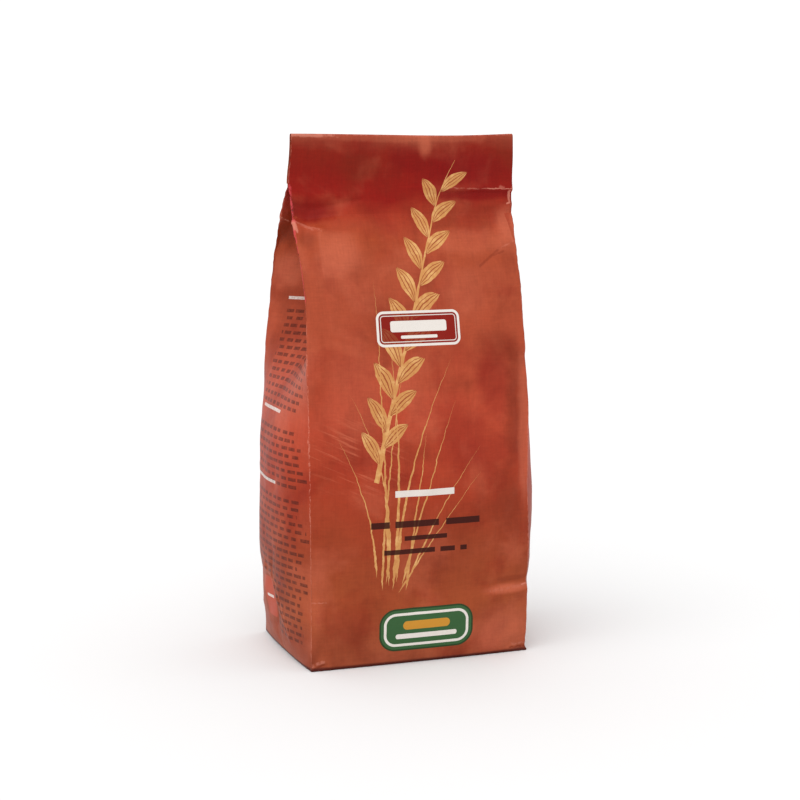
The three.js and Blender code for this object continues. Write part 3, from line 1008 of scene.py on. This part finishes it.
# %% A plain badge near the base
BADGE = (FRONT_MIDDLE + 2, 19.0)
badge = rounded_box(BADGE, 52, 23, 9)
art = lay(art, GREEN_EDGE, badge < 0)
art = lay(art, GREEN, badge < -0.9)
art = lay(art, WHITE, within(badge, -3.9, -2.5))
art = lay(art, MUSTARD, bar((BADGE[0], BADGE[1] + 2.2), 26, 4.6, 2.2))
art = lay(art, WHITE, bar((BADGE[0], BADGE[1] - 3.6), 34, 2.6, 1.2))
print("with the plate, the bars and the badge", len(tree.nodes), "nodes")

# %% [markdown]
# The sides and the back carry small print. Hundreds of little bars would be hundreds of masks, so
# the rows are worked out like the leaves: the height is cut into rows and each row into words, and
# chance gives every word its own length.

# %% Rows of small print, all over the sheet
ROW_PITCH, WORD, BAR_HEIGHT = 3.9, 6.5, 1.8
SHORTEST, LONGER = 0.55, 0.35  # a word takes this much of its place, and up to so much more


def chance(*numbers):
    """A number from 0 to 1 that stays the same over each whole step of the numbers."""
    where = node("ShaderNodeCombineXYZ", {}, list(numbers))["Vector"]
    return node("ShaderNodeTexWhiteNoise", {"noise_dimensions": "2D"}, {"Vector": where})["Value"]


down = t * (-1 / ROW_PITCH)
row_number = down.math("FLOOR")
row_chance = chance(row_number)
words = s.math("MULTIPLY_ADD", 1 / WORD, row_chance * 3)
word_length = chance(words.math("FLOOR"), row_number).math("MULTIPLY_ADD", LONGER, SHORTEST)
half_bar = BAR_HEIGHT / ROW_PITCH / 2
in_a_bar = within(down.math("FRACT"), 0.5 - half_bar, 0.5 + half_bar)
small_bars = (words.math("FRACT") < word_length) * in_a_bar
fade = noise(1.6, 3, 0.7, shift=5.0).math("MULTIPLY_ADD", 1.3, 0.15, clamp=True)

# %% The blocks in which the rows show
RAGGED_END = 9.0  # the rows end unevenly, by up to this much
ragged = s + row_chance * RAGGED_END
PRINT_BLOCKS = [  # middle, left, right, rows from the top one to the last
    (LEFT_MIDDLE, -30, 40, 187, 13), (LEFT_MIDDLE, -24, 42, 128.5, 8), (LEFT_MIDDLE, -30, 42, 93.5, 12),
    (LEFT_MIDDLE, 2, 40, 43, 8), (RIGHT_MIDDLE, -34, 38, 183, 12), (BACK_MIDDLE, -44, 50, 199, 9),
    (BACK_MIDDLE, -44, 50, 93.5, 14),
]


def print_block(middle, left_end, right_end, top, rows):
    top = math.floor(top / ROW_PITCH) * ROW_PITCH
    block = within(t, top - rows * ROW_PITCH, top) * (ragged < middle + right_end)
    return block * within(s, middle + left_end, middle + right_end)


blocks = side_by_side([print_block(*measures) for measures in PRINT_BLOCKS])
art = lay(art, DARK, small_bars * blocks * fade * 0.75)
print(len(PRINT_BLOCKS), "blocks of small print")

# %% Their headings, and a small mark low on the left side
HEADINGS = [  # middle, left, right and height
    (LEFT_MIDDLE, -30, -14, 188.4), (LEFT_MIDDLE, -22, 12, 131.6), (LEFT_MIDDLE, -36, 14, 95.2),
    (RIGHT_MIDDLE, -34, -8, 184.6), (BACK_MIDDLE, -44, -10, 200.6), (BACK_MIDDLE, -44, -14, 95.2),
]
HALF_HEADING = 0.8


def heading(middle, left_end, right_end, height):
    line = within(t, height - HALF_HEADING, height + HALF_HEADING)
    return within(s, middle + left_end, middle + right_end) * line


headings = side_by_side([heading(*measures) for measures in HEADINGS])
art = lay(art, WHITE, headings * fade * 0.85)
SIDE_MARK = (LEFT_MIDDLE - 9, 29.0)
art = lay(art, SALMON, bar(SIDE_MARK, 14, 22, 2) * 0.7)
art = lay(art, WHITE, bar(SIDE_MARK, 9, 1.6, 0.7) * 0.8)

# %% A ruled table on the right side and a blank label on the back
TABLE, TABLE_ROW, RULE = (RIGHT_MIDDLE, 82.0), 8, 0.05
table = rounded_box(TABLE, 62, 64, 1.5)
ruled = within((t * (1 / TABLE_ROW)).math("FRACT"), 0, RULE) * (table < 0)
art = lay(art, WHITE, (within(table, -0.6, 0) + ruled) * 0.8)
art = lay(art, WHITE, bar((BACK_MIDDLE, 128.0), 60, 30, 3) * 0.85)
print("with the small print", len(tree.nodes), "nodes")

# %% [markdown]
# ## Wear, and painted light and shade
#
# Where the paper was folded or rubbed, the ink cracks and the pale paper shows. The worst is the
# front left fold under the band. The cut edge of the mouth, low on the back, is bare paper. Wear
# could be found from how sharply the mesh bends, but that would wear every fold alike. Here each
# worn line is drawn where it belongs, with an uneven edge, and broken up where the ink still holds.
# The same kind of line also paints highlights along edges and ridges that catch the light, shade in
# creases and at the pinched lower corners, and a dark shadow along the base's rim.

# %% A line on the sheet, for wear and for painted highlights and shade
line_wobble = swing(noise(4, 3, 0.65, shift=8.0), 0.9)
unsteady_sheet = vector_math("ADD", sheet, line_wobble)


def line_mask(start, end, half_width, most=1.0):
    """A line between two places on the sheet, for wear and for painted highlights and shade."""
    run = (end[0] - start[0], end[1] - start[1], 0)
    along_run = [part / (run[0] ** 2 + run[1] ** 2) for part in run]
    off = vector_math("SUBTRACT", unsteady_sheet, (*start, 0))
    share = vector_math("DOT_PRODUCT", off, along_run, output="Value").math("ADD", 0, clamp=True)
    away = vector_math("DISTANCE", off, scaled(run, share), output="Value")
    return rounded(away, half_width, half_width * 0.3, most)


# %% Where the bag is rubbed, cracked or creased, and where highlights and shade are painted: from, to, half width and strength
TOP_EDGE = BAND_FOOT + UPRIGHT_LENGTH + 0.4 * math.pi * TOP_RADIUS
RUBBED_FOLDS = [
    ((FRONT_START + 0.3, 230), (FRONT_START + 0.3, 248), 1.7, 1.0),
    ((FRONT_START, 190), (FRONT_START, 228), 0.7, 0.8),
]
# painted shade: brown ink darkens these creases and the pinched lower corners where a shadow lies in
# them
PAINTED_CREASE_SHADOWS = [  # creases that hold a shadow
    (front(37.5, 206.5), front(48.6, 214.2), 1.0, 0.4), (front(44, 211.4), front(52, 213.6), 0.8, 0.35),
    (front(-58.8, 1.2), front(-53, 3.2), 0.6, 0.6), (front(50, 2.6), front(59.6, 2.2), 0.6, 0.7),
]
# the upright folds and the top fold have cracked ink; on the other creases the pale line is partly
# cracked ink and partly a painted highlight where the ridge catches the light
CRACKS_AND_RIDGE_HIGHLIGHTS = [  # folds and creases on which the ink is only cracked
    ((FRONT_START, 3), (FRONT_START, 190), 0.5, 0.5), ((RIGHT_START, 3), (RIGHT_START, 250), 0.5, 0.5),
    ((LEFT_START, 3), (LEFT_START, 250), 0.5, 0.5), ((BACK_START, 3), (BACK_START, 250), 0.5, 0.5),
    ((FRONT_START, TOP_EDGE), (RIGHT_START, TOP_EDGE), 0.6, 0.5),
    (front(38, 35.2), front(59, 36.4), 1.0, 0.15), (front(24, 246.6), front(48, 246), 0.5, 0.35),
    (front(-60, 36.4), front(-52, 36.1), 0.4, 0.4), (front(50, 215), front(59, 219), 0.6, 0.25),
    (front(-60, 230.6), front(-47, 225), 1.1, 0.35), (left(-42, 232), left(-37, 229.6), 0.5, 0.6),
    (left(-13, 46), left(8, 38.5), 0.6, 0.4), (left(8, 38.5), left(21, 14), 0.6, 0.4),
    (front(-59.3, 2.8), front(-53.5, 4.8), 1.2, 0.5), (front(51, 4.2), front(59.6, 4), 0.8, 0.35),
    ((FRONT_START + 12, TOP_EDGE - 0.7), (FRONT_START + 25, TOP_EDGE - 0.7), 1.0, 0.5),
]
# painted highlights: pale lines along edges that catch the light
PAINTED_EDGE_HIGHLIGHTS = [  # edges that catch the light, unbroken
    ((FRONT_START, TOP_EDGE - 0.6), (FRONT_START + 16, TOP_EDGE - 0.6), 1.1, 0.6),
    ((FRONT_START - 0.4, 250), (FRONT_START - 0.4, TOP_EDGE), 0.8, 0.55),
    (front(46, 246.1), front(60, 246), 0.5, 0.7), (front(58.7, 244.2), front(58.9, 239), 1.3, 0.75),
    (front(53.6, 247), front(55.4, 246.6), 1.3, 0.35),
    (front(57, 238), front(60, 239), 0.6, 0.8), (front(-60, 229.5), front(-58.8, 225.5), 1.1, 0.7),
    (front(57, 36.6), front(60, 37.2), 0.6, 0.6),
]
# the count takes in the painted highlights and the painted shade as well as the wear
print(len(RUBBED_FOLDS + PAINTED_CREASE_SHADOWS + CRACKS_AND_RIDGE_HIGHLIGHTS + PAINTED_EDGE_HIGHLIGHTS), "lines of wear")

# %% Lay the wear and the painted shade and highlights over the print, and a painted shadow and bare paper at its ends
broken = noise(2.6, 3, 0.7, shift=9.0)  # high where the ink has come off
worn = strongest([line_mask(*line) for line in RUBBED_FOLDS]) * rounded(broken, 0.32, 0.48)
# the painted shade in the creases
painted_crease_shade = strongest([line_mask(*line) for line in PAINTED_CREASE_SHADOWS])
# the cracked ink and the painted highlights, both laid in the pale rubbed ink
cracks_and_ridge_highlights = strongest([line_mask(*line) for line in CRACKS_AND_RIDGE_HIGHLIGHTS]) * rounded(broken, 0.3, 0.6)
pale = strongest([cracks_and_ridge_highlights] + [line_mask(*line) for line in PAINTED_EDGE_HIGHLIGHTS])
# a painted shadow: the soiled ink darkens the sheet from 2.5 mm above the rim round onto the underside
painted_rim_shadow = rounded(t, 2.5, 1.0, 0.9) * rounded(t, -4.0, -0.5)
finished = lay(art, BROWN, painted_crease_shade)
finished = lay(finished, RUBBED, worn)
finished = lay(finished, PALE_WEAR_AND_HIGHLIGHT, pale)
finished = lay(finished, UNDERSIDE, rounded(t, 0.0, -3.0, 0.85))
finished = lay(finished, RIM_SHADOW_INK, painted_rim_shadow)
finished = lay(finished, BARE, t.math("GREATER_THAN", CUT_EDGE - 0.3))
tree.links.new(finished.socket, shader.inputs["Base Color"])
print("with the wear", len(tree.nodes), "nodes")

# %% [markdown]
# ## The satin surface
#
# Printed paper is satin: light slides off it softly, and a little less so where the ink is gone.
# Roughness says how soft, and a faint bump gives it its fibres. A real relief so fine would need
# millions of points, and nobody would see it from the side.

# %% Gloss and fibres
GLOSS, UNEVEN_GLOSS, WORN_ROUGHER, SHINE = 0.4, 0.12, 0.2, 0.1
gloss = noise(6, 3, 0.6).math("MULTIPLY_ADD", UNEVEN_GLOSS, GLOSS) + (worn + pale) * WORN_ROUGHER
tree.links.new(gloss.socket, shader.inputs["Roughness"])
shader.inputs["Specular IOR Level"].default_value = SHINE
fibres = noise(0.9, 4, 0.65) * 0.6 + noise(5, 3, 0.6) * 1.2
bump = node("ShaderNodeBump", {}, {"Strength": 0.25, "Distance": 0.12 * MM, "Height": fibres})["Normal"]
tree.links.new(bump.socket, shader.inputs["Normal"])
print("the print has", len(tree.nodes), "nodes")

# %% Give the bag its paper, and let it take the solid's place
bag.data.materials.append(paper)
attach(bag, "root")
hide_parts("bag")

# %% [markdown]
# ## Floor, light and camera
#
# The bag stands in a white studio. Its light comes from all round, and one broad lamp high at the
# front left leaves a soft shadow on the right. Softboxes would do the same, but a white world is
# even everywhere, and a sun with a wide angle has soft edges at any distance.

# %% The floor
FLOOR_GREY = 0.715  # under this light it just looks white
bpy.ops.mesh.primitive_plane_add(size=8)
floor = bpy.context.object
floor.name = "pale_floor"
matt = bpy.data.materials.new("pale_floor")
matt.use_nodes = True
matt_inputs = matt.node_tree.nodes["Principled BSDF"].inputs
matt_inputs["Base Color"].default_value = (FLOOR_GREY, FLOOR_GREY, FLOOR_GREY, 1)
matt_inputs["Roughness"].default_value = 0.9
floor.data.materials.append(matt)
print("the floor is", floor.dimensions.x, "m wide")

# %% The light
WORLD_STRENGTH, LAMP_STRENGTH, LAMP_ANGLE = 1.1, 1.5, 75
LAMP_TILT, LAMP_TURN = 42, -48  # off straight down, and round to the left

world = bpy.data.worlds.new("studio")
bpy.context.scene.world = world
world.use_nodes = True
world.node_tree.nodes["Background"].inputs["Color"].default_value = (1, 1, 1, 1)
world.node_tree.nodes["Background"].inputs["Strength"].default_value = WORLD_STRENGTH

bpy.ops.object.light_add(type="SUN")
lamp = bpy.context.object
lamp.name = "key_light"
lamp.data.energy = LAMP_STRENGTH
lamp.data.angle = math.radians(LAMP_ANGLE)
lamp.rotation_euler = (math.radians(LAMP_TILT), 0, math.radians(LAMP_TURN))
print("the lamp is", LAMP_ANGLE, "degrees across")

# %% [markdown]
# The camera stands nearly a metre off, a little to the left and just as high as the bag, and looks
# slightly down. It could be moved until the picture looks right, but distance and lens are easily
# mistaken for each other, so both were found by fitting a camera to the bag's corners.

# %% The photograph's viewpoint
CAMERA_AZIMUTH, CAMERA_DISTANCE, CAMERA_HEIGHT = math.radians(-19.8), 0.968, 0.2736
CAMERA_BACK = 0.85 * MM  # measured from a point this much nearer to the camera than the base's middle
AIM_AZIMUTH, AIM_DOWN = math.radians(-20.02), math.radians(8.25)
SENSOR_WIDTH, PICTURE_WIDTH, LENS_IN_PIXELS = 36, 800, 1819
bpy.ops.object.camera_add()
camera = bpy.context.object
camera.location = (
    math.sin(CAMERA_AZIMUTH) * CAMERA_DISTANCE,
    -math.cos(CAMERA_AZIMUTH) * CAMERA_DISTANCE - CAMERA_BACK,
    CAMERA_HEIGHT,
)
camera.rotation_euler = (math.pi / 2 - AIM_DOWN, 0, AIM_AZIMUTH)
camera.data.sensor_width = SENSOR_WIDTH
camera.data.lens = SENSOR_WIDTH * LENS_IN_PIXELS / PICTURE_WIDTH
print("the lens is", round(camera.data.lens, 1), "mm")
bpy.context.scene.camera = camera
bpy.context.scene.view_settings.view_transform = "Standard"
